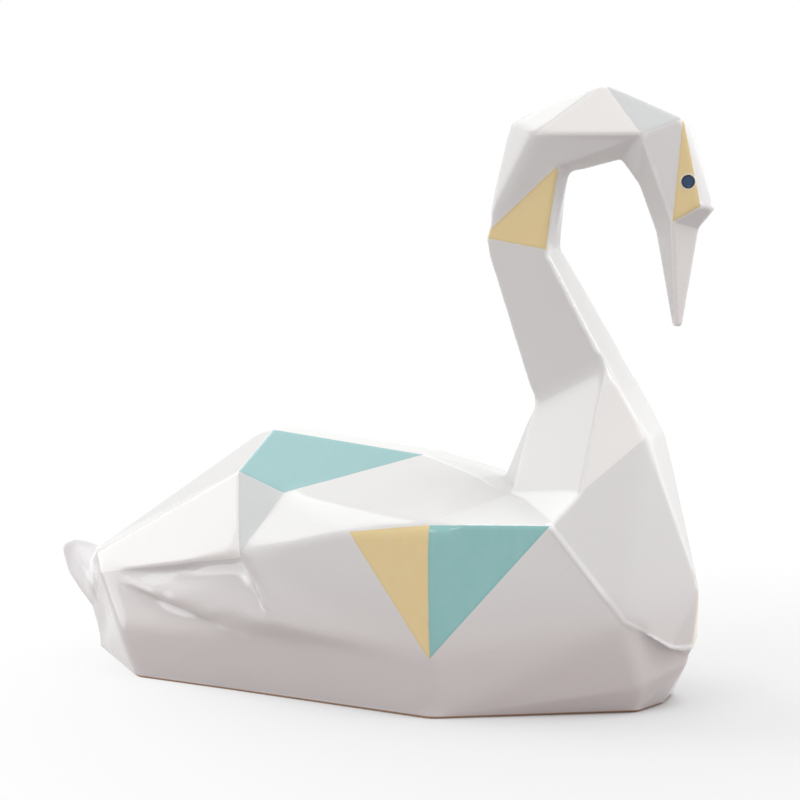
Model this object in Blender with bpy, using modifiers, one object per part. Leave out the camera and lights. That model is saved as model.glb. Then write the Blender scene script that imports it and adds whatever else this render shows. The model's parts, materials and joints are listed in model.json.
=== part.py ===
"""A swan figurine: one slip-cast piece of glazed porcelain, cut in flat facets.

The outside is a cage of corners. Half of it is made, on the near side of the middle plane, and mirrored.
Sizes are in millimetres. A corner is (station, half width, height): the station runs forward from the
stern corner of the foot, the half width runs out from the middle plane and the height is above the table.
"""
from math import pi

import bmesh
import bpy
from mathutils import Matrix, Vector

MM = 0.001

# Foot: the flat outline that stands on the table.
FOOT_LENGTH = 238.0
FOOT_REAR_AT = 47.5
FOOT_REAR_HALF = 46.5
FOOT_MIDDLE_AT = 93.0
FOOT_MIDDLE_HALF = 51.0
FOOT_WIDEST_AT = 178.5
FOOT_WIDEST_HALF = 61.0
FOOT_BOW_HALF = 17.0

# Hull: the wall from the foot up to the line where the wings begin.
SHOULDER_HEIGHT = 21.0
STERN_BULGE = 1.5
STERN_RAKE = 5.0
STERN_HEIGHT = 16.0
LIP_OUT = 3.0

# Tail and rump.
TAIL_OVERHANG = 21.0
TAIL_HEIGHT = 43.0
RUMP_TOP_AT = 73.0

# Wings: the top of the folded pair is a narrow flat strip, and their outer rim is lower and wider.
STRIP_REAR_AT = 84.5
STRIP_FRONT_AT = 149.0
STRIP_HALF = 7.5
STRIP_HEIGHT = 92.5
STRIP_FALL = 6.5
RIM_HALF = 51.0
RIM_HEIGHT = 66.5
WING_TIP_HALF = 28.0
WING_TIP_HEIGHT = 35.5
FEATHER_STEP = 4.5

# Neck: a flat front strip and a sharp back edge.
NECK_FOOT_AT = 178.5
NECK_FOOT_HEIGHT = 79.0
NECK_HOLLOW_HEIGHT = 105.5
NECK_BEND_HEIGHT = 164.0
NECK_FRONT_HALF = 7.5
BREAST_HALF = 9.5
BREAST_TOP_HEIGHT = 96.5
BREAST_POINT_HEIGHT = 42.5
BREAST_POINT_AT = 254.5

# Head and beak.
ARCH_HEIGHT = 221.0
ARCH_HALF = 9.0
BROW_AT = 259.0
BROW_HEIGHT = 176.5
CHEEK_HALF = 8.0
BEAK_LENGTH = 34.5
BEAK_TIP_HALF = 2.0

# Underside: an unglazed ring stands on the table, the floor inside it is recessed and has the vent of the casting.
FOOT_RING_WIDTH = 7.0
RECESS_DEPTH = 1.5
VENT_DIAMETER = 12.0
VENT_DEPTH = 25.0
VENT_SIDES = 32

# Glaze roundings: the widest is on the soft edges, and the shares are what the others have of it.
SOFT_EDGE = 3.0
CRISP_SHARE = 0.2
FINE_SHARE = 0.15
EDGE_STEPS = 3


def corners():
    """The named corners of the near half."""
    hull = {
        "stern": (-STERN_BULGE, 0, 0),
        "foot_rear": (FOOT_REAR_AT, FOOT_REAR_HALF, 0),
        "foot_middle": (FOOT_MIDDLE_AT, FOOT_MIDDLE_HALF, 0),
        "foot_widest": (FOOT_WIDEST_AT, FOOT_WIDEST_HALF, 0),
        "foot_bow": (FOOT_LENGTH, FOOT_BOW_HALF, 0),
        "foot_bow_mid": (FOOT_LENGTH + 2.5, 0, 0),
        "stern_top": (-STERN_RAKE, 0, STERN_HEIGHT),
        "shoulder_rear": (FOOT_REAR_AT - 10, FOOT_REAR_HALF - 2.5, SHOULDER_HEIGHT - 2.5),
        "shoulder_middle": (FOOT_MIDDLE_AT, FOOT_MIDDLE_HALF - 0.5, SHOULDER_HEIGHT + 1.5),
        "shoulder_wing": (FOOT_MIDDLE_AT + 22.5, FOOT_MIDDLE_HALF + 2.5, SHOULDER_HEIGHT),
        "shoulder_widest": (FOOT_WIDEST_AT - 0.5, FOOT_WIDEST_HALF, SHOULDER_HEIGHT),
        "bow_low": (FOOT_LENGTH + 2.5, FOOT_BOW_HALF + 4, 9.5),
        "keel_low": (FOOT_LENGTH + 12.5, 0, 16.5),
        "keel_groove": (FOOT_LENGTH + 12.5, 0, 19),
        "keel_lip": (FOOT_LENGTH + 14, 0, 21.5),
        "lip_middle": (FOOT_LENGTH + 10.5, 14, 23),
        "bow_high": (FOOT_LENGTH - 0.5, 28, 33.5),
    }
    tail = {
        "tail_keel": (-11.5, 0, 22),
        "tail_under": (-TAIL_OVERHANG + 3, 0, TAIL_HEIGHT - 13),
        "tail_tip": (-TAIL_OVERHANG, 0, TAIL_HEIGHT - 4),
        "tail_back": (-TAIL_OVERHANG + 2, 0, TAIL_HEIGHT - 1),
        "tail_ridge": (-TAIL_OVERHANG + 8, 0, TAIL_HEIGHT + 1.5),
        "tail_rim": (-TAIL_OVERHANG + 7, 2.1, TAIL_HEIGHT - 2.5),
        "tail_low": (3, 10, 24.5),
        "tail_end": (14.5, 17, 16.5),
        "rump_foot": (0.5, 0, TAIL_HEIGHT - 0.5),
        "rump_top": (RUMP_TOP_AT, 0, STRIP_HEIGHT - 2.5),
    }
    wing = {
        "tip": (17.5, WING_TIP_HALF, WING_TIP_HEIGHT),
        "tip_top": (12.3, WING_TIP_HALF - 6.2, WING_TIP_HEIGHT + 6.5),
        "tip_root": (-2.5, 4, WING_TIP_HEIGHT),
        "lip_rear": (61, 46, SHOULDER_HEIGHT + 8.5),
        "lip_front": (FOOT_MIDDLE_AT + 18.5, FOOT_MIDDLE_HALF + 2 + LIP_OUT, SHOULDER_HEIGHT + 6.5),
        "feather_top": (79.5, 25, STRIP_HEIGHT - 14.5),
        "feather_low": (93.5, 48, 50),
        "feather_under": (95, 46.5, 50 - FEATHER_STEP),
        "coverts": (102.5, 30, STRIP_HEIGHT - 21),
        "rim_rear": (140.5, RIM_HALF - 1, RIM_HEIGHT - 4.5),
        "rim": (172.5, RIM_HALF, RIM_HEIGHT),
        "rim_front": (213, RIM_HALF - 14, RIM_HEIGHT + 0.5),
        "strip_rear": (STRIP_REAR_AT, STRIP_HALF, STRIP_HEIGHT),
        "strip_rear_mid": (STRIP_REAR_AT, 0, STRIP_HEIGHT),
        "strip_front": (STRIP_FRONT_AT, STRIP_HALF, STRIP_HEIGHT - STRIP_FALL),
        "strip_front_mid": (STRIP_FRONT_AT, 0, STRIP_HEIGHT - STRIP_FALL),
        "saddle": (172, 13, STRIP_HEIGHT - 13),
        "saddle_front": (187.1, 12.5, STRIP_HEIGHT - 18.5),
    }
    neck = {
        "neck_foot": (NECK_FOOT_AT, 0, NECK_FOOT_HEIGHT),
        "neck_side": (NECK_FOOT_AT + 37.0, 25.5, NECK_FOOT_HEIGHT - 1.3),
        "breast_wing": (NECK_FOOT_AT + 42, 28, NECK_FOOT_HEIGHT - 1),
        "neck_hollow": (190, 0, NECK_HOLLOW_HEIGHT),
        "throat": (222.5, BREAST_HALF + 0.5, BREAST_TOP_HEIGHT + 24.5),
        "throat_mid": (222.5, 0, BREAST_TOP_HEIGHT + 24.5),
        "breast_top": (237.5, BREAST_HALF, BREAST_TOP_HEIGHT),
        "breast_top_mid": (237.5, 0, BREAST_TOP_HEIGHT),
        "breast_point": (BREAST_POINT_AT, 0, BREAST_POINT_HEIGHT),
        "bend_front": (197.5, NECK_FRONT_HALF, NECK_BEND_HEIGHT - 2),
        "bend_front_mid": (197.5, 0, NECK_BEND_HEIGHT - 2),
        "bend_back": (169, 0, NECK_BEND_HEIGHT + 2),
        "nape_front": (201, NECK_FRONT_HALF - 2, ARCH_HEIGHT - 29.5),
        "nape_front_mid": (203.5, 0, ARCH_HEIGHT - 32),
    }
    head = {
        "nape": (180, 0, ARCH_HEIGHT - 12.5),
        "crown": (216.5, 0, ARCH_HEIGHT),
        "arch_rear": (193.5, ARCH_HALF, ARCH_HEIGHT - 18),
        "arch_front": (234.5, ARCH_HALF, ARCH_HEIGHT - 18.5),
        "arch_inner": (230, ARCH_HALF - 2.5, ARCH_HEIGHT - 20.5),
        "arch_inner_mid": (223, 0, ARCH_HEIGHT - 27.5),
        "forehead": (BROW_AT - 11, 4, ARCH_HEIGHT - 13),
        "forehead_mid": (BROW_AT - 10, 0, ARCH_HEIGHT - 13),
        "brow": (BROW_AT, 0, BROW_HEIGHT),
        "brow_side": (BROW_AT - 3.5, CHEEK_HALF - 2, BROW_HEIGHT + 1),
        "cheek": (BROW_AT - 13, CHEEK_HALF, BROW_HEIGHT - 4.5),
        "beak_root": (BROW_AT - 6, 0, BROW_HEIGHT - 7),
        "jaw": (BROW_AT - 29, 0, BROW_HEIGHT + 8),
        "chin": (BROW_AT - 22.5, 0, BROW_HEIGHT - 8.5),
        "tip_fore": (BROW_AT - 12, 0, BROW_HEIGHT - 7 - BEAK_LENGTH),
        "tip_aft": (BROW_AT - 16, 0, BROW_HEIGHT - 7 - BEAK_LENGTH),
        "tip_side": (BROW_AT - 13.5, BEAK_TIP_HALF, BROW_HEIGHT - 6.5 - BEAK_LENGTH),
    }
    return {**hull, **tail, **wing, **neck, **head}


WHITE, TEAL, YELLOW = 0, 1, 2

# Every facet of the near half, by its corners, with its enamel colour.
FACETS = [
    (WHITE, "stern foot_rear foot_middle foot_widest foot_bow foot_bow_mid"),
    (WHITE, "stern foot_rear shoulder_rear"),
    (WHITE, "stern shoulder_rear tail_end"),
    (WHITE, "stern tail_end stern_top"),
    (WHITE, "foot_rear foot_middle shoulder_middle"),
    (WHITE, "foot_rear shoulder_middle shoulder_rear"),
    (WHITE, "foot_middle foot_widest shoulder_widest shoulder_wing shoulder_middle"),
    (WHITE, "foot_widest bow_high shoulder_widest"),
    (WHITE, "foot_widest bow_low bow_high"),
    (WHITE, "foot_widest foot_bow bow_low"),
    (WHITE, "foot_bow foot_bow_mid keel_low bow_low"),
    (WHITE, "bow_low keel_low bow_high"),
    (WHITE, "keel_low keel_groove bow_high"),
    (WHITE, "keel_groove lip_middle bow_high"),
    (WHITE, "keel_groove keel_lip lip_middle"),
    (WHITE, "keel_lip breast_point lip_middle"),
    (WHITE, "lip_middle breast_point bow_high"),
    (WHITE, "stern_top tail_end tail_low"),
    (WHITE, "stern_top tail_low tail_keel"),
    (WHITE, "tail_keel tail_low tail_under"),
    (WHITE, "tail_under tail_low tail_rim"),
    (WHITE, "tail_under tail_rim tail_tip"),
    (WHITE, "tail_tip tail_rim tail_back"),
    (WHITE, "tail_back tail_rim tail_ridge"),
    (WHITE, "rump_foot tail_ridge tail_rim tail_low tip_root"),
    (WHITE, "tip_root tail_low tail_end tip tip_top"),
    (WHITE, "rump_foot tip_root tip_top"),
    (WHITE, "tail_end shoulder_rear tip"),
    (WHITE, "tip shoulder_rear shoulder_middle"),
    (WHITE, "tip shoulder_middle lip_rear"),
    (WHITE, "lip_rear shoulder_middle lip_front"),
    (WHITE, "shoulder_middle shoulder_wing lip_front"),
    (WHITE, "tip lip_rear feather_under"),
    (WHITE, "lip_rear lip_front feather_under"),
    (WHITE, "tip feather_under feather_low"),
    (WHITE, "tip feather_low feather_top tip_top"),
    (WHITE, "rump_foot tip_top feather_top"),
    (WHITE, "rump_foot feather_top rump_top"),
    (WHITE, "rump_top feather_top strip_rear"),
    (WHITE, "rump_top strip_rear strip_rear_mid"),
    (WHITE, "strip_rear strip_front strip_front_mid strip_rear_mid"),
    (WHITE, "feather_top feather_low coverts"),
    (WHITE, "coverts feather_low rim_rear"),
    (TEAL, "feather_top coverts strip_front strip_rear"),
    (WHITE, "coverts rim_rear rim"),
    (WHITE, "coverts rim strip_front"),
    (WHITE, "strip_front rim saddle"),
    (WHITE, "saddle rim saddle_front"),
    (WHITE, "saddle_front rim rim_front"),
    (WHITE, "feather_low shoulder_widest rim_rear"),
    (WHITE, "feather_low feather_under shoulder_widest"),
    (WHITE, "feather_under lip_front shoulder_widest"),
    (WHITE, "lip_front shoulder_wing shoulder_widest"),
    (YELLOW, "rim_rear shoulder_widest rim"),
    (TEAL, "rim shoulder_widest rim_front"),
    (WHITE, "rim_front shoulder_widest bow_high"),
    (WHITE, "strip_front saddle neck_foot strip_front_mid"),
    (WHITE, "saddle saddle_front neck_foot"),
    (WHITE, "neck_foot saddle_front neck_hollow"),
    (WHITE, "saddle_front rim_front neck_side"),
    (WHITE, "rim_front breast_wing neck_side"),
    (WHITE, "neck_hollow saddle_front neck_side breast_wing throat"),
    (WHITE, "rim_front bow_high breast_wing"),
    (WHITE, "breast_wing bow_high breast_top"),
    (WHITE, "bow_high breast_point breast_top"),
    (WHITE, "breast_top breast_point breast_top_mid"),
    (WHITE, "throat breast_wing breast_top"),
    (WHITE, "throat breast_top breast_top_mid throat_mid"),
    (WHITE, "bend_front throat throat_mid bend_front_mid"),
    (WHITE, "bend_back neck_hollow throat bend_front"),
    (YELLOW, "bend_back bend_front nape_front"),
    (WHITE, "bend_back nape_front arch_rear"),
    (WHITE, "nape_front bend_front bend_front_mid nape_front_mid"),
    (WHITE, "bend_back arch_rear nape"),
    (WHITE, "nape arch_rear crown"),
    (WHITE, "crown arch_rear arch_front"),
    (WHITE, "arch_rear nape_front arch_inner arch_front"),
    (WHITE, "nape_front nape_front_mid arch_inner_mid arch_inner"),
    (WHITE, "arch_front arch_inner arch_inner_mid"),
    (WHITE, "arch_front arch_inner_mid jaw"),
    (WHITE, "arch_front jaw cheek"),
    (WHITE, "jaw chin cheek"),
    (WHITE, "crown arch_front forehead"),
    (WHITE, "crown forehead forehead_mid"),
    (WHITE, "arch_front cheek forehead"),
    (YELLOW, "forehead cheek brow_side"),
    (WHITE, "forehead brow_side brow forehead_mid"),
    (WHITE, "cheek beak_root brow brow_side"),
    (WHITE, "cheek tip_side tip_fore beak_root"),
    (WHITE, "cheek chin tip_aft tip_side"),
    (WHITE, "tip_side tip_aft tip_fore"),
]

# Edges that only part a gently bent facet, so they stay unrounded.
PLAIN_EDGES = [
    "stern shoulder_rear", "foot_rear shoulder_middle", "foot_widest bow_high", "foot_widest bow_low",
    "keel_low bow_high", "rump_foot feather_top", "coverts rim", "strip_front rim", "saddle rim",
    "saddle_front rim", "feather_low shoulder_widest", "feather_under shoulder_widest",
    "lip_front shoulder_widest", "stern foot_bow_mid", "strip_rear_mid strip_front_mid",
    "strip_front_mid neck_foot", "bend_front_mid throat_mid", "throat_mid breast_top_mid",
    "breast_top_mid breast_point", "nape_front_mid bend_front_mid", "foot_bow_mid keel_low",
    "arch_front arch_inner_mid", "arch_front jaw", "jaw cheek", "keel_groove keel_low",
    "lip_middle breast_point", "keel_groove lip_middle", "neck_side rim_front", "neck_side breast_wing",
    "stern tail_end", "tail_end shoulder_rear", "stern_top tail_low", "tail_keel tail_low", "tail_under tail_low",
    "tail_under tail_rim", "tail_tip tail_rim", "tail_back tail_rim", "tail_ridge tail_rim", "tail_low tail_end",
    "tip_root tip_top", "lip_rear feather_under", "bend_back throat",
]
SOFT_EDGES = [
    "foot_rear shoulder_rear", "foot_middle shoulder_middle", "foot_widest shoulder_widest",
    "shoulder_widest bow_high", "bow_low bow_high", "bend_back arch_rear", "neck_hollow throat",
    "tip shoulder_rear", "shoulder_rear shoulder_middle", "breast_wing bow_high",
    "breast_top bow_high", "rump_foot rump_top",
]
FINE_EDGES = [
    "tip_side tip_aft", "tip_side tip_fore", "tip_aft tip_fore", "cheek tip_side", "beak_root tip_fore",
    "chin tip_aft", "tail_end stern_top", "keel_groove keel_lip", "keel_lip lip_middle", "crown forehead", "keel_lip breast_point",
]


def half_shell():
    """The near half of the outside, open at the middle plane."""
    places = corners()
    bm = bmesh.new()
    points = {name: bm.verts.new((x, -half, z)) for name, (x, half, z) in places.items()}
    for colour, names in FACETS:
        bm.faces.new([points[name] for name in names.split()]).material_index = colour
    weight = bm.edges.layers.float.new("bevel_weight_edge")
    special = {frozenset(pair.split()): 0.0 for pair in PLAIN_EDGES}
    special.update({frozenset(pair.split()): 1.0 for pair in SOFT_EDGES})
    special.update({frozenset(pair.split()): FINE_SHARE for pair in FINE_EDGES})
    names = {point: name for name, point in points.items()}
    for edge in bm.edges:
        edge[weight] = special.get(frozenset(names[point] for point in edge.verts), CRISP_SHARE)
    bmesh.ops.recalc_face_normals(bm, faces=bm.faces)
    foot = min(bm.faces, key=lambda face: face.calc_center_median().z)
    if foot.normal.z > 0:
        bmesh.ops.reverse_faces(bm, faces=bm.faces)
    return bm


def inset(outline, width):
    """The outline moved in by a width, for an outline that runs anticlockwise."""
    moved = []
    for before, here, after in zip(outline[-1:] + outline[:-1], outline, outline[1:] + outline[:1]):
        one, two = (here - before).normalized(), (after - here).normalized()
        in_one, in_two = Vector((-one.y, one.x)), Vector((-two.y, two.x))
        moved.append(here + (in_one + in_two) * width / (1 + in_one.dot(in_two)))
    return moved


def prism(outline, low, high):
    """A closed block over an anticlockwise outline."""
    bm = bmesh.new()
    rings = [[bm.verts.new((point.x, point.y, z)) for point in outline] for z in (low, high)]
    bm.faces.new(rings[0][::-1])
    bm.faces.new(rings[1])
    for i in range(len(outline)):
        j = (i + 1) % len(outline)
        bm.faces.new((rings[0][i], rings[0][j], rings[1][j], rings[1][i]))
    return bm


def recess_block():
    """What is missing inside the foot ring."""
    places = corners()
    near = [places[name] for name in ("stern", "foot_rear", "foot_middle", "foot_widest", "foot_bow")]
    outline = [Vector((x, -half)) for x, half, z in near]
    outline += [Vector((x, half)) for x, half, z in near[:0:-1]]
    return prism(inset(outline, FOOT_RING_WIDTH), -RECESS_DEPTH, RECESS_DEPTH)


def vent_block():
    """The blind hole under the body, where the slip was poured out and the air leaves in the kiln."""
    middle = Vector((FOOT_LENGTH / 2, 0))
    arm = Vector((VENT_DIAMETER / 2, 0))
    turns = [Matrix.Rotation(2 * pi * i / VENT_SIDES, 2) for i in range(VENT_SIDES)]
    return prism([middle + turn @ arm for turn in turns], -RECESS_DEPTH, VENT_DEPTH)


def add_object(name, bm):
    """Scales the mesh from millimetres to metres and makes it an object."""
    bmesh.ops.scale(bm, verts=bm.verts, vec=Vector((MM, MM, MM)))
    mesh = bpy.data.meshes.new(name)
    bm.to_mesh(mesh)
    bm.free()
    made = bpy.data.objects.new(name, mesh)
    bpy.context.collection.objects.link(made)
    return made


def cut(body, name, bm):
    """Takes the block out of the body, and keeps it as a hidden helper."""
    block = add_object(name, bm)
    block.hide_render = True
    block.display_type = "WIRE"
    away = body.modifiers.new(name, "BOOLEAN")
    away.operation = "DIFFERENCE"
    away.solver = "EXACT"
    away.object = block
    return block


def enamel(name, colour, roughness):
    material = bpy.data.materials.new(name)
    material.use_nodes = True
    surface = material.node_tree.nodes["Principled BSDF"]
    surface.inputs["Base Color"].default_value = (*colour, 1)
    surface.inputs["Roughness"].default_value = roughness
    surface.inputs["Metallic"].default_value = 0.0
    return material


def swan():
    body = add_object("swan", half_shell())
    for name, colour in (("white_glaze", (0.86, 0.86, 0.85)), ("teal_enamel", (0.30, 0.58, 0.56)),
                         ("yellow_enamel", (0.80, 0.62, 0.33))):
        body.data.materials.append(enamel(name, colour, 0.12))
    mirror = body.modifiers.new("other_half", "MIRROR")
    mirror.use_axis = (False, True, False)
    mirror.use_clip = True
    mirror.merge_threshold = 0.00001
    rounding = body.modifiers.new("glaze_rounding", "BEVEL")
    rounding.limit_method = "WEIGHT"
    rounding.offset_type = "OFFSET"
    rounding.width = SOFT_EDGE * MM
    rounding.segments = EDGE_STEPS
    rounding.use_clamp_overlap = False
    made = [body, cut(body, "foot_recess_block", recess_block()), cut(body, "vent_block", vent_block())]
    centre_over_origin(body, made)


def centre_over_origin(body, made):
    """Slides the meshes along until the finished body's length is halved by the origin."""
    bpy.context.view_layer.update()
    finished = body.evaluated_get(bpy.context.evaluated_depsgraph_get()).to_mesh()
    reach = [point.co.x for point in finished.vertices]
    slide = Matrix.Translation((-(max(reach) + min(reach)) / 2, 0, 0))
    for each in made:
        each.data.transform(slide)


for old in list(bpy.data.objects):
    bpy.data.objects.remove(old, do_unlink=True)
swan()
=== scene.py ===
"""The swan figurine's looks: glazed porcelain with enamelled facets, on a pale studio floor."""
import json

import bmesh
import bpy
import mathutils
import numpy as np
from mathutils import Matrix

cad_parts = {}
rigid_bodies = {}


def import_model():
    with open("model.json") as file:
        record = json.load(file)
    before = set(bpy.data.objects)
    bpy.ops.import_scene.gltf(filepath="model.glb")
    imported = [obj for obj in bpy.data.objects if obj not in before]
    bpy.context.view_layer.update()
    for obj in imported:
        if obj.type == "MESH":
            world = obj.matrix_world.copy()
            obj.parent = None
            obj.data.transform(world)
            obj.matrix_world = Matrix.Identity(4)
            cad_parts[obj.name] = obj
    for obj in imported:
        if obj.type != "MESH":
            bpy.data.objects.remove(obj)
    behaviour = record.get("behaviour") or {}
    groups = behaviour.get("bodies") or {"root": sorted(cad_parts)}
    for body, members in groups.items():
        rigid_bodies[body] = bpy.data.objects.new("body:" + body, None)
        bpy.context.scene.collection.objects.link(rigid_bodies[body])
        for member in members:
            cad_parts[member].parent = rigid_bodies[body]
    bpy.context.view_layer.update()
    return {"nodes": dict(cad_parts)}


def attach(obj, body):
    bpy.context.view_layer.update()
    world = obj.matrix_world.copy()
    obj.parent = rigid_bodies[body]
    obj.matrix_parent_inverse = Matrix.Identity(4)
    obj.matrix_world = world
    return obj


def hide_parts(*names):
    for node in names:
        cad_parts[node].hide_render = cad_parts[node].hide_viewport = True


for old in list(bpy.data.objects):
    bpy.data.objects.remove(old, do_unlink=True)
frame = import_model()


# The bird, from its foot ring to its beak, is one slip-cast piece of white porcelain.
# Its facets meet in edges that the clear glaze has rounded, and some facets carry a flat
# coat of teal or pale yellow enamel. Only the ring that it stands on is bare clay; its dark
# brown is also a painted contact shadow.
GRAIN = 0.0005            # metres between points of the even skin
MELT_PASSES = 9           # that round every edge
SOFT_PASSES = 43          # that soften the edges in SOFT_LINES
BROAD_PASSES = 130        # on top of those, for the edges in BROAD_LINES
SOFT_REACH = 8            # millimetres from such an edge to where its blend ends
BROAD_REACH = 14
WAVE_HEIGHT = 0.00004     # metres that a facet swells and sinks by
MOST_TRIANGLES = 185000
MIDDLE_STATION = 119.072  # the CAD station, in millimetres, that lies at the origin
PORCELAIN = (0.70, 0.70, 0.69)
POOLED_AND_SHADED = (0.62, 0.58, 0.57)     # in the hollows: pooled glaze and painted shade
LOW_SHADE = (0.640, 0.600, 0.595)   # low down: painted shade, darker and pinker near the floor
THIN_GLAZE_AND_HIGHLIGHT = (0.94, 0.94, 0.95)       # on the arrises, thin glaze and painted highlight; on the tail, painted highlight
WHITE = (0.815, 0.805, 0.79)
PAINTED_SHADE_GREY = (0.605, 0.620, 0.625)
TEAL = (0.235, 0.505, 0.490)
PAINTED_LIT_TEAL = (0.310, 0.535, 0.530)
YELLOW = (0.775, 0.610, 0.292)
BARE_CLAY_AND_SHADE = (0.40, 0.22, 0.11)
HALO = (0.88, 0.82, 0.66)       # the ring of glaze left pale round each eye
EYE_CENTRE = (250.85, 5.83, 185.96)

# Corners of the flank, as (station, half width, height) in millimetres. The front wing lies over
# the flank in a low step that runs down from feather_low, and the flank behind it is pressed in.
FLANK = {
    "tip": (17.5, 28, 35.5), "feather_low": (93.5, 48, 50), "lip_rear": (61, 46, 29.5),
    "lip_front": (111.5, 56, 27.5), "shoulder_widest": (178, 61, 21),
}
PLAIN_FLANK = {"feather_under": (95, 46.5, 45.5)}
PLAIN_SHEET = [
    "tip feather_low feather_under", "tip feather_under lip_rear",
    "lip_rear feather_under lip_front", "feather_under shoulder_widest lip_front",
    "feather_low shoulder_widest feather_under",
]
FOLDED_FLANK = {"feather_under": (95.5, 43.5, 45)}
FOLDED_SHEET = [
    "tip feather_low feather_under", "tip feather_under lip_rear",
    "lip_rear feather_under lip_front", "feather_low lip_front feather_under",
    "feather_low shoulder_widest lip_front",
]
FLANK_DEPTH = 6           # millimetres from the plain sheet within which points are moved

# Edges that the glaze has filled, in the same terms: softly, or so broadly that a slow bend is left.
SOFT_LINES = [
    ((190, 0, 105.5), (222.5, 10, 121)), ((169, 0, 166), (193.5, 9, 203)),
    ((237.5, 9.5, 96.5), (237.5, 28, 33.5)), ((254.5, 0, 42.5), (237.5, 28, 33.5)),
    ((178, 61, 21), (237.5, 28, 33.5)), ((240.5, 21, 9.5), (237.5, 28, 33.5)),
    ((93.5, 48, 50), (140.5, 50, 62)), ((178.5, 61, 0), (178, 61, 21)),
    ((37.5, 44, 18.5), (93, 50.5, 22.5)), ((93, 50.5, 22.5), (115.5, 53.5, 21)),
    ((115.5, 53.5, 21), (178, 61, 21)), ((17.5, 28, 35.5), (61, 46, 29.5)),
    ((61, 46, 29.5), (111.5, 56, 27.5)), ((111.5, 56, 27.5), (178, 61, 21)),
    ((0.5, 0, 42.5), (73, 0, 90)), ((-21, 0, 39), (-18, 0, 30)),
    ((-18, 0, 30), (-11.5, 0, 22)), ((-13, 0, 44.5), (0.5, 0, 42.5)),
    ((-14, 2.1, 40.5), (3, 10, 24.5)), ((180, 0, 208.5), (193.5, 9, 203)),
    ((197.5, 4, 165), (203, 1, 187)),
]
BROAD_LINES = [
    ((93.5, 48, 50), (178, 61, 21)), ((178.5, 61, 0), (237.5, 28, 33.5)),
    ((61, 46, 29.5), (95.5, 43.5, 45)), ((102.5, 30, 71.5), (172.5, 51, 66.5)),
    ((17.5, 28, 35.5), (37.5, 44, 18.5)), ((14.5, 17, 16.5), (37.5, 44, 18.5)),
    ((37.5, 44, 18.5), (47.5, 46.5, 0)), ((93, 51, 0), (93, 50.5, 22.5)),
    ((-1.5, 0, 0), (14.5, 17, 16.5)),
]
# Seams that stand a little proud: the wing's top edge, its front edge, and the fold under the breast.
SEAMS = [
    ((149.5, 7.5, 86), (174, 12, 79)), ((174, 12, 79), (193, 18.5, 72.5)),
    ((193, 18.5, 72.5), (213, 37, 67)), ((213, 37, 67), (237.5, 28, 33.5)),
    ((237.5, 28, 33.5), (248.5, 14, 23)), ((248.5, 14, 23), (252, 0, 21.5)),
]
SEAM_HEIGHT = 0.00022     # metres
SEAM_REACH = 1.4          # millimetres to either side
# The tail's outer edge, at half width 0: its sides are pressed in behind a raised rim.
TAIL_RIM = [(-13, 0, 44.5), (-19, 0, 42), (-21, 0, 39), (-18, 0, 30), (-11.5, 0, 22), (-5, 0, 16)]
TAIL_PRESS = 1.0          # millimetres
TAIL_RIM_WIDTH = 3.6


def melted(points, edges, passes):
    """Each point moves half way to the mean of its neighbours, in every pass."""
    start, end = np.concatenate([edges, edges[:, ::-1]]).T
    count = np.bincount(start, minlength=len(points))[:, None]
    for _ in range(passes):
        near = [np.bincount(start, weights=column, minlength=len(points)) for column in points[end].T]
        points = 0.5 * points + 0.5 * np.stack(near, axis=1) / count
    return points


def swell(points):
    """A casting's slow waves: a mean of sines along six fixed directions, 25 to 60 mm long."""
    ways = np.array([
        (1, .3, .2), (-.4, 1, .5), (.2, -.6, 1), (.8, .7, -.5), (-.7, .2, .9), (.5, -1, -.3),
    ])
    lengths = np.array([0.060, 0.047, 0.039, 0.033, 0.029, 0.025])
    turns = 2 * np.pi * (points @ (ways / np.linalg.norm(ways, axis=1)[:, None]).T) / lengths
    return np.sin(turns + np.arange(6) * 1.7).sum(axis=1) / 6


def nearness(places, lines, reach):
    """How near each place is to the nearest of the lines: 1 within a third of the reach, 0 beyond it."""
    nearest = np.full(len(places), np.inf)
    for start, end in lines:
        start, way = np.array(start, float), np.subtract(end, start)
        share = np.clip((places - start) @ way / (way @ way), 0, 1)
        nearest = np.minimum(nearest, np.linalg.norm(places - start - share[:, None] * way, axis=1))
    share = np.clip(1.5 * (1 - nearest / reach), 0, 1)
    return (share * share * (3 - 2 * share))[:, None]


def half_width(corners, triangles, places):
    """The half width of a sheet of flat triangles at each place's station and height.

    It is nan outside the sheet.
    """
    width = np.full(len(places), np.nan)
    for names in triangles:
        one, two, three = (np.array(corners[name], float) for name in names.split())
        sides = np.stack([(two - one)[[0, 2]], (three - one)[[0, 2]]], axis=1)
        shares = (places[:, [0, 2]] - one[[0, 2]]) @ np.linalg.inv(sides).T
        within = (shares.min(axis=1) >= -1e-9) & (shares.sum(axis=1) <= 1 + 1e-9)
        width[within] = one[1] + shares[within] @ (two[1] - one[1], three[1] - one[1])
    return width


def apply_modifiers(piece):
    graph = bpy.context.evaluated_depsgraph_get()
    piece.data = bpy.data.meshes.new_from_object(piece.evaluated_get(graph))
    piece.modifiers.clear()


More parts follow.
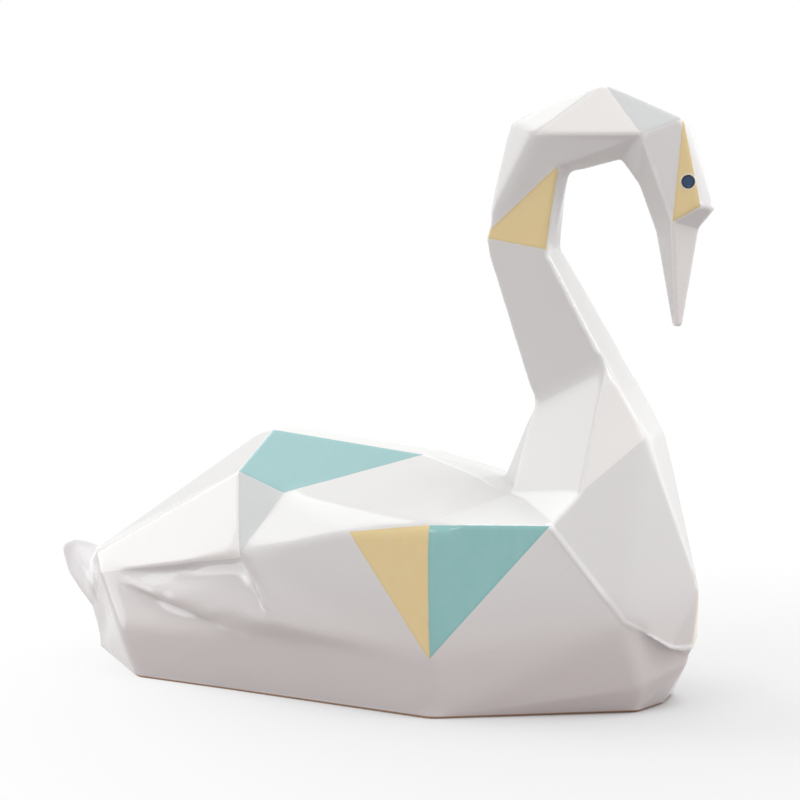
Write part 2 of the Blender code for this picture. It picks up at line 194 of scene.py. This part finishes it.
def skin_of(node):
    """A copy of the node's surface on an even grid of points, melted at its edges.

    Its attribute hollow is how far a point lies under the softened surface, in millimetres.
    """
    mesh = node.data.copy()
    bm = bmesh.new()
    bm.from_mesh(mesh)
    bmesh.ops.remove_doubles(bm, verts=bm.verts, dist=0.000001)
    bm.to_mesh(mesh)
    bm.free()
    piece = bpy.data.objects.new("swan_porcelain", mesh)
    bpy.context.scene.collection.objects.link(piece)
    even = piece.modifiers.new("even_skin", "REMESH")
    even.mode = "VOXEL"
    even.voxel_size = GRAIN
    apply_modifiers(piece)

    mesh = piece.data
    points = np.empty(len(mesh.vertices) * 3, np.float32)
    mesh.vertices.foreach_get("co", points)
    edges = np.empty(len(mesh.edges) * 2, np.int32)
    mesh.edges.foreach_get("vertices", edges)
    edges = edges.reshape(-1, 2)
    points = points.reshape(-1, 3).astype(float)
    places = points * 1000 + (MIDDLE_STATION, 0, 0)
    places[:, 1] = np.abs(places[:, 1])
    plain = half_width(FLANK | PLAIN_FLANK, PLAIN_SHEET, places)
    folds = half_width(FLANK | FOLDED_FLANK, FOLDED_SHEET, places)
    moves = np.where(np.abs(places[:, 1] - plain) < FLANK_DEPTH, folds - plain, 0)
    rim = list(zip(TAIL_RIM, TAIL_RIM[1:]))
    on_rim = nearness(places * (1, 0, 1), rim, TAIL_RIM_WIDTH)[:, 0]
    station, width, height = places.T
    on_tail = np.clip((2 - station) / 7, 0, 1) * np.clip((height - 20) / 4, 0, 1)
    off_middle = np.clip(width / 1.5, 0, 1)
    moves = np.nan_to_num(moves) - TAIL_PRESS * (1 - on_rim) * on_tail * off_middle
    points[:, 1] += moves * np.sign(points[:, 1]) / 1000
    points = melted(points, edges, MELT_PASSES)
    soft = melted(points, edges, SOFT_PASSES)
    broad = melted(soft, edges, BROAD_PASSES)
    above_foot = np.clip((places[:, 2:] - 0.5) / 5, 0, 1)
    points += above_foot * nearness(places, SOFT_LINES, SOFT_REACH) * (soft - points)
    points += above_foot * nearness(places, BROAD_LINES, BROAD_REACH) * (broad - points)
    mesh.vertices.foreach_set("co", points.astype(np.float32).ravel())
    mesh.update()
    normals = np.empty(len(mesh.vertices) * 3, np.float32)
    mesh.vertices.foreach_get("normal", normals)
    normals = normals.reshape(-1, 3)
    points += normals * nearness(places, SEAMS, SEAM_REACH) * SEAM_HEIGHT
    hollow = ((soft - points) * normals).sum(axis=1) * 1000
    wave = swell(points) * WAVE_HEIGHT * (points[:, 2] > 0.002)
    points += normals * wave[:, None]
    mesh.vertices.foreach_set("co", points.astype(np.float32).ravel())
    attribute = mesh.attributes.new("hollow", "FLOAT", "POINT")
    attribute.data.foreach_set("value", hollow.astype(np.float32))
    mesh.update()

    fewer = piece.modifiers.new("fewer_faces", "DECIMATE")
    fewer.ratio = min(1.0, MOST_TRIANGLES / (2 * len(mesh.polygons)))
    apply_modifiers(piece)
    piece.data.shade_smooth()
    return piece


swan = skin_of(frame["nodes"]["swan"])

glaze = bpy.data.materials.new("glazed_porcelain")
glaze.use_nodes = True
tree = glaze.node_tree
shader = tree.nodes["Principled BSDF"]


def step(kind, *inputs, **settings):
    """Adds a node. Its inputs are sockets to link, values to set, or None to leave as they are."""
    node = tree.nodes.new(kind)
    for name, value in settings.items():
        setattr(node, name, value)
    for socket, given in zip(node.inputs, inputs):
        if isinstance(given, bpy.types.NodeSocket):
            tree.links.new(given, socket)
        elif given is not None:
            socket.default_value = given
    return node


def maths(operation, *inputs):
    return step("ShaderNodeMath", *inputs, operation=operation).outputs[0]


def vector(operation, *inputs):
    made = step("ShaderNodeVectorMath", *inputs, operation=operation)
    return made.outputs["Value"] if operation in ("DOT_PRODUCT", "LENGTH") else made.outputs["Vector"]


def noise(place, scale, detail):
    """Noise with so many waves to the millimetre, from 0 to 1."""
    made = step("ShaderNodeTexNoise", place)
    made.inputs["Scale"].default_value = scale
    made.inputs["Detail"].default_value = detail
    return made.outputs[0]


def ramp(value, low, high):
    """0 below low, 1 above high and smooth between them."""
    made = step("ShaderNodeMapRange", value, low, high, 0.0, 1.0, interpolation_type="SMOOTHSTEP")
    return made.outputs[0]


def blend_colours(share, one, two):
    made = tree.nodes.new("ShaderNodeMix")
    made.data_type = "RGBA"
    for socket, given in zip((made.inputs[0], made.inputs[6], made.inputs[7]), (share, one, two)):
        if isinstance(given, bpy.types.NodeSocket):
            tree.links.new(given, socket)
        else:
            socket.default_value = (*given, 1) if isinstance(given, tuple) else given
    return made.outputs[2]


def reach(place, corners, depth):
    """How far inside a facet's outline a point is, in millimetres.

    It is the least of the distances to the planes that stand on the facet's edges, and of what
    is left of depth at the point's distance from the facet's own plane.
    """
    corners = np.array(corners, float)
    centre = corners.mean(axis=0)
    facing = np.cross(corners[1] - corners[0], corners[2] - corners[0])
    facing /= np.linalg.norm(facing)
    least = maths("SUBTRACT", depth, maths("ABSOLUTE", maths(
        "SUBTRACT", vector("DOT_PRODUCT", place, tuple(facing)), float(facing @ corners[0]))))
    for here, after in zip(corners, np.roll(corners, -1, axis=0)):
        inward = np.cross(facing, after - here)
        inward *= np.sign(inward @ (centre - here)) / np.linalg.norm(inward)
        away = maths("SUBTRACT", vector("DOT_PRODUCT", place, tuple(inward)), float(inward @ here))
        least = maths("MINIMUM", least, away)
    return least


def widest(reaches):
    least = reaches[0]
    for other in reaches[1:]:
        least = maths("MAXIMUM", least, other)
    return least


# Places are in millimetres, with x as the station, and folded ones have y as the half width.
# The enamel is brushed by hand, so its outline wavers a little.
at_point = step("ShaderNodeTexCoord").outputs["Object"]
place = vector("MULTIPLY_ADD", at_point, (1000, 1000, 1000), (MIDDLE_STATION, 0, 0))
split = step("ShaderNodeSeparateXYZ", place)
half = maths("ABSOLUTE", split.outputs[1])
folded = step("ShaderNodeCombineXYZ", split.outputs[0], half, split.outputs[2]).outputs[0]
waver = vector("MULTIPLY", vector("SUBTRACT", noise(place, 0.25, 1.0), (0.5, 0.5, 0.5)), (0.5, 0.5, 0.5))
brushed = vector("ADD", folded, waver)
one_sided = vector("ADD", place, waver)
# The head's front facet and a wing facet are coated a cool grey: painted shade.
shaded_grey_facets = widest([
    reach(brushed, [(216.5, 0, 221), (234.5, 9, 202.5), (248, 4, 208)], 2),
    reach(brushed, [(79.5, 25, 78), (93.5, 48, 50), (102.5, 30, 71.5)], 2),
])
# The wing's upward top facet gets a lighter copy of the teal: painted light.
painted_lit_teal_facet = reach(
    brushed, [(79.5, 25, 78), (102.5, 30, 71.5), (149, 7.5, 86), (84.5, 7.5, 92.5)], 5)
teal = reach(brushed, [(172.5, 51, 66.5), (178, 61, 21), (213, 37, 67)], 3)
yellow = widest([
    reach(brushed, [(140.5, 50, 62), (178, 61, 21), (172.5, 51, 66.5)], 3),
    reach(brushed, [(169, 0, 166), (197.5, 7.5, 162), (201, 5.5, 191.5)], 1.2),
    reach(brushed, [(248, 4, 208), (246, 8, 172), (255.5, 6, 177.5)], 3),
    reach(one_sided, [(252, 0, 21.5), (254.5, 0, 42.5), (248.5, 14, 23)], 3),
    reach(one_sided, [(254.5, 0, 42.5), (237.5, 28, 33.5), (248.5, 14, 23)], 3),
])
whitest = widest([
    reach(brushed, [(17.5, 28, 35.5), (93.5, 48, 50), (79.5, 25, 78), (12.3, 21.8, 42)], 3),
    reach(brushed, [(222.5, 10, 121), (220.5, 28, 78), (237.5, 9.5, 96.5)], 3),
    reach(brushed, [(216.5, 0, 221), (193.5, 9, 203), (234.5, 9, 202.5)], 3),
    # The beak's facet gets the same white as painted light; the facets above are white enamel.
    reach(brushed, [(246, 8, 172), (245.5, 2, 135.5), (247, 0, 135), (253, 0, 169.5)], 1.5),
])
cloud = noise(place, 0.035, 3.0)
streak = noise(vector("MULTIPLY", place, (0.9, 0.9, 0.35)), 0.30, 4.0)
hollow = step("ShaderNodeAttribute", attribute_name="hollow").outputs["Fac"]
# Darker and pinker in the hollows: partly pooled glaze, partly painted shade.
pooled_glaze_and_shade = ramp(hollow, 0.05, 0.9)
arris = ramp(maths("MULTIPLY", hollow, -1.0), 0.10, 0.45)
clouded = maths("MULTIPLY", ramp(cloud, 0.35, 0.75), 0.25)
white = blend_colours(clouded, PORCELAIN, tuple(0.96 * c for c in PORCELAIN))
white = blend_colours(maths("MULTIPLY", pooled_glaze_and_shade, 0.6), white, POOLED_AND_SHADED)
# Darker and pinker towards the foot, fading out between about 16 and 62 mm up along an uneven line:
# painted shade.
uneven_height = maths("ADD", split.outputs[2], maths("MULTIPLY", cloud, 12))
low = maths("SUBTRACT", 1.0, ramp(uneven_height, 16.0, 62.0))
white = blend_colours(low, white, LOW_SHADE)
# Paler on the arrises and the raised seams: partly thin glaze, partly painted highlight.
white = blend_colours(maths("MULTIPLY", arris, 0.85), white, THIN_GLAZE_AND_HIGHLIGHT)
# The tail is painted paler: a painted highlight.
behind = maths("SUBTRACT", 1.0, ramp(split.outputs[0], -4.0, 4.0))
tail = maths("MULTIPLY", behind, ramp(split.outputs[2], 14.0, 26.0))
white = blend_colours(tail, white, THIN_GLAZE_AND_HIGHLIGHT)


def coat(under, colour, inside, edge=0.80):
    """Enamel, or painted light or shade, over the ground: brushed a little unevenly, a touch deeper in a
    line at its edge.
    """
    line = maths("SUBTRACT", 1.0, ramp(inside, 0.15, 1.0))
    thin = maths("MULTIPLY", ramp(streak, 0.35, 0.75), 0.15)
    tone = blend_colours(thin, colour, tuple(c + 0.25 * (0.8 - c) for c in colour))
    tone = blend_colours(maths("MULTIPLY", line, 0.35), tone, tuple(edge * c for c in colour))
    return blend_colours(ramp(inside, -0.08, 0.08), under, tone)


colour = coat(coat(white, WHITE, whitest, 1.0), PAINTED_SHADE_GREY, shaded_grey_facets, 1.0)
colour = coat(coat(coat(colour, PAINTED_LIT_TEAL, painted_lit_teal_facet), TEAL, teal), YELLOW, yellow)
# The foot ring, bare clay in dark brown: partly its own colour, partly a painted contact shadow.
bare_ring_and_shade = maths("SUBTRACT", 1.0, ramp(split.outputs[2], 0.7, 1.2))
colour = blend_colours(bare_ring_and_shade, colour, BARE_CLAY_AND_SHADE)
from_eye = vector("LENGTH", vector("SUBTRACT", folded, EYE_CENTRE))
halo = maths("MULTIPLY", maths("SUBTRACT", 1.0, ramp(from_eye, 2.8, 3.2)), 0.6)
colour = blend_colours(halo, colour, HALO)
tree.links.new(colour, shader.inputs["Base Color"])
polish = maths("ADD", maths("MULTIPLY", noise(place, 0.12, 3.0), 0.10), 0.16)
tree.links.new(maths("MAXIMUM", polish, maths("MULTIPLY", bare_ring_and_shade, 0.75)), shader.inputs["Roughness"])
orange_peel = step("ShaderNodeBump", 0.035, 0.001)
tree.links.new(noise(place, 0.55, 2.0), orange_peel.inputs["Height"])
tree.links.new(orange_peel.outputs[0], shader.inputs["Normal"])
shader.inputs["IOR"].default_value = 1.5
shader.inputs["Coat Weight"].default_value = 0.6
shader.inputs["Coat Roughness"].default_value = 0.04
shader.inputs["Coat IOR"].default_value = 1.5
swan.data.materials.clear()
swan.data.materials.append(glaze)
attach(swan, "root")
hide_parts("swan")


# The eyes are two dots of thick navy enamel, one on each yellow band, fired on over the glaze.
# Each dot stands a little proud, with a raised rim and a slate-blue middle.
EYE_AT = np.array([0.13178, 0.00583, 0.18596])
EYE_FACING = np.array([0.1486, 0.9837, 0.1010])
EYE_RADIUS = 0.0024
EYE_HEIGHT = 0.00035
NAVY = (0.004, 0.020, 0.060)
SLATE = (0.004, 0.040, 0.100)


def eye_dot(side):
    """A profile turned about the facet's normal: from the middle over the rim to below the glaze.

    A point is at EYE_AT + radius * (cos(a) * right + sin(a) * up) + height * facing.
    """
    share = np.array([0.0, 0.25, 0.5, 0.66, 0.74, 0.80, 0.86, 0.92, 0.97, 1.0, 1.0])
    height = np.array([0.62, 0.61, 0.60, 0.62, 0.80, 0.95, 1.0, 0.93, 0.70, 0.30, -1.2])
    around = np.linspace(0, 2 * np.pi, 48, endpoint=False)
    facing = EYE_FACING * (1, side, 1) / np.linalg.norm(EYE_FACING)
    right = np.cross(facing, (0, 0, 1))
    right /= np.linalg.norm(right)
    up = np.cross(right, facing)
    radius = EYE_RADIUS * share[1:, None]
    centre = EYE_AT * (1, side, 1)
    outward = np.cos(around)[:, None] * right + np.sin(around)[:, None] * up
    walls = centre + radius[..., None] * outward + EYE_HEIGHT * height[1:, None, None] * facing
    ends = centre + EYE_HEIGHT * height[[0, -1], None] * facing
    points = np.vstack([walls.reshape(-1, 3), ends])
    rings, turns = len(share) - 1, len(around)
    grid = np.arange(rings * turns).reshape(rings, turns)
    after = np.roll(grid, -1, axis=1)
    quads = np.stack([grid[:-1], grid[1:], after[1:], after[:-1]], axis=-1).reshape(-1, 4).tolist()
    middle = [(rings * turns, a, b) for a, b in zip(grid[0].tolist(), after[0].tolist())]
    base = [(rings * turns + 1, b, a) for a, b in zip(grid[-1].tolist(), after[-1].tolist())]
    mesh = bpy.data.meshes.new("eye")
    mesh.from_pydata(points.tolist(), [], quads + middle + base)
    from_middle = np.linalg.norm(points - centre, axis=1) / EYE_RADIUS
    attribute = mesh.attributes.new("from_middle", "FLOAT", "POINT")
    attribute.data.foreach_set("value", from_middle.astype(np.float32))
    mesh.shade_smooth()
    bm = bmesh.new()
    bm.from_mesh(mesh)
    bmesh.ops.recalc_face_normals(bm, faces=bm.faces)
    bm.to_mesh(mesh)
    bm.free()
    return mesh


enamel = bpy.data.materials.new("navy_enamel")
enamel.use_nodes = True
tree = enamel.node_tree
shader = tree.nodes["Principled BSDF"]
place = vector("MULTIPLY", step("ShaderNodeTexCoord").outputs["Object"], (1000, 1000, 1000))
out = step("ShaderNodeAttribute", attribute_name="from_middle").outputs["Fac"]
speck = maths("MULTIPLY", noise(place, 2.2, 3.0), 0.7)
middle = blend_colours(speck, SLATE, tuple(1.9 * c for c in SLATE))
tree.links.new(blend_colours(ramp(out, 0.6, 0.78), middle, NAVY), shader.inputs["Base Color"])
tree.links.new(maths("ADD", maths("MULTIPLY", speck, 0.15), 0.12), shader.inputs["Roughness"])
shader.inputs["IOR"].default_value = 1.5
for name, side in (("eye_near", -1), ("eye_far", 1)):
    eye = bpy.data.objects.new(name, eye_dot(side))
    bpy.context.scene.collection.objects.link(eye)
    eye.data.materials.append(enamel)
    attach(eye, "root")


# The floor is a plain sheet of white studio paper that runs back until it is lost in a white room.
# Near the swan it takes the lamps' light and keeps the soft shadow, and it is greyest round a point
# beyond the bow, a painted shadow there; further off it fades to white.
PAPER = (0.66, 0.66, 0.665)
PAPER_RADIUS = 6                         # metres
BOUNCE = (0.385, 0.34, 0.34)             # what the paper throws back at the swan
SHADE_WITHIN, WHITE_BEYOND = 0.05, 0.36    # metres from SHADE_MIDDLE
SHADE_MIDDLE = (0.19, 0.02, 0)
around = np.linspace(0, 2 * np.pi, 64, endpoint=False)
mesh = bpy.data.meshes.new("floor")
rim = PAPER_RADIUS * np.stack([np.cos(around), np.sin(around), 0 * around], axis=1)
mesh.from_pydata(rim.tolist(), [], [list(range(len(rim)))])
floor = bpy.data.objects.new("floor", mesh)
bpy.context.scene.collection.objects.link(floor)
paper = bpy.data.materials.new("studio_paper")
paper.use_nodes = True
tree = paper.node_tree
shader = tree.nodes["Principled BSDF"]
shader.inputs["Roughness"].default_value = 0.8


def seen_by_camera():
    """1 for a ray from the camera, straight or by way of a reflection, and 0 for one that lights."""
    paths = step("ShaderNodeLightPath")
    reflected = maths("MAXIMUM", paths.outputs["Is Glossy Ray"], paths.outputs["Is Transmission Ray"])
    return maths("MAXIMUM", paths.outputs["Is Camera Ray"], reflected)


seen = seen_by_camera()
tree.links.new(blend_colours(seen, BOUNCE, PAPER), shader.inputs["Base Color"])
# The paper is greyer round SHADE_MIDDLE, beside the bow: a painted shadow pool that fades to plain white
# further off.
from_shade_middle = vector("SUBTRACT", step("ShaderNodeTexCoord").outputs["Object"], SHADE_MIDDLE)
far = ramp(vector("LENGTH", from_shade_middle), SHADE_WITHIN, WHITE_BEYOND)
plain = step("ShaderNodeEmission")
joined = step("ShaderNodeMixShader", maths("MULTIPLY", seen, far), shader.outputs[0], plain.outputs[0])
tree.links.new(joined.outputs[0], tree.nodes["Material Output"].inputs["Surface"])
floor.data.materials.append(paper)


# Studio light: four soft boxes, one small lamp for the glints, and a plain white room.
# Each lamp is a disc with its name, place, size in metres and power in watts.
ROOM_FILL = (0.865, 0.84, 0.84)
LAMP_COLOUR = (0.96, 1.0, 1.0)
LAMPS = [
    ("box_left_low", (-1.38, -0.04, 0.35), 1.0, 3.3),
    ("box_left_high", (-1.04, 0.14, 1.02), 0.8, 2.45),
    ("box_right_back", (1.00, 0.87, 0.57), 1.3, 2.75),
    ("box_above_near", (0.41, 0.07, 0.72), 0.5, 2.7),
    ("glint", (-0.14, -1.00, 1.05), 0.25, 0.7),
]
LAMPS_FACE = mathutils.Vector((0, 0, 0.1))
for name, at, size, power in LAMPS:
    light = bpy.data.lights.new(name, "AREA")
    light.shape = "DISK"
    light.size = size
    light.energy = power
    light.color = LAMP_COLOUR
    lamp = bpy.data.objects.new(name, light)
    bpy.context.scene.collection.objects.link(lamp)
    lamp.location = at
    lamp.rotation_euler = (LAMPS_FACE - lamp.location).to_track_quat("-Z", "Y").to_euler()
room = bpy.data.worlds.new("room")
bpy.context.scene.world = room
room.use_nodes = True
tree = room.node_tree
seen = seen_by_camera()
tree.links.new(blend_colours(seen, ROOM_FILL, (1.0, 1.0, 1.0)), tree.nodes["Background"].inputs["Color"])

lens = bpy.data.cameras.new("camera")
lens.lens = 108
lens.sensor_width = 36
lens.sensor_fit = "HORIZONTAL"
lens.clip_end = 100
camera = bpy.data.objects.new("camera", lens)
bpy.context.scene.collection.objects.link(camera)
camera.location = (0.4291, -0.7935, 0.1796)
camera.rotation_euler = (np.radians(85.236), 0, np.radians(27.5))
bpy.context.scene.camera = camera
bpy.context.scene.view_settings.view_transform = "Standard"
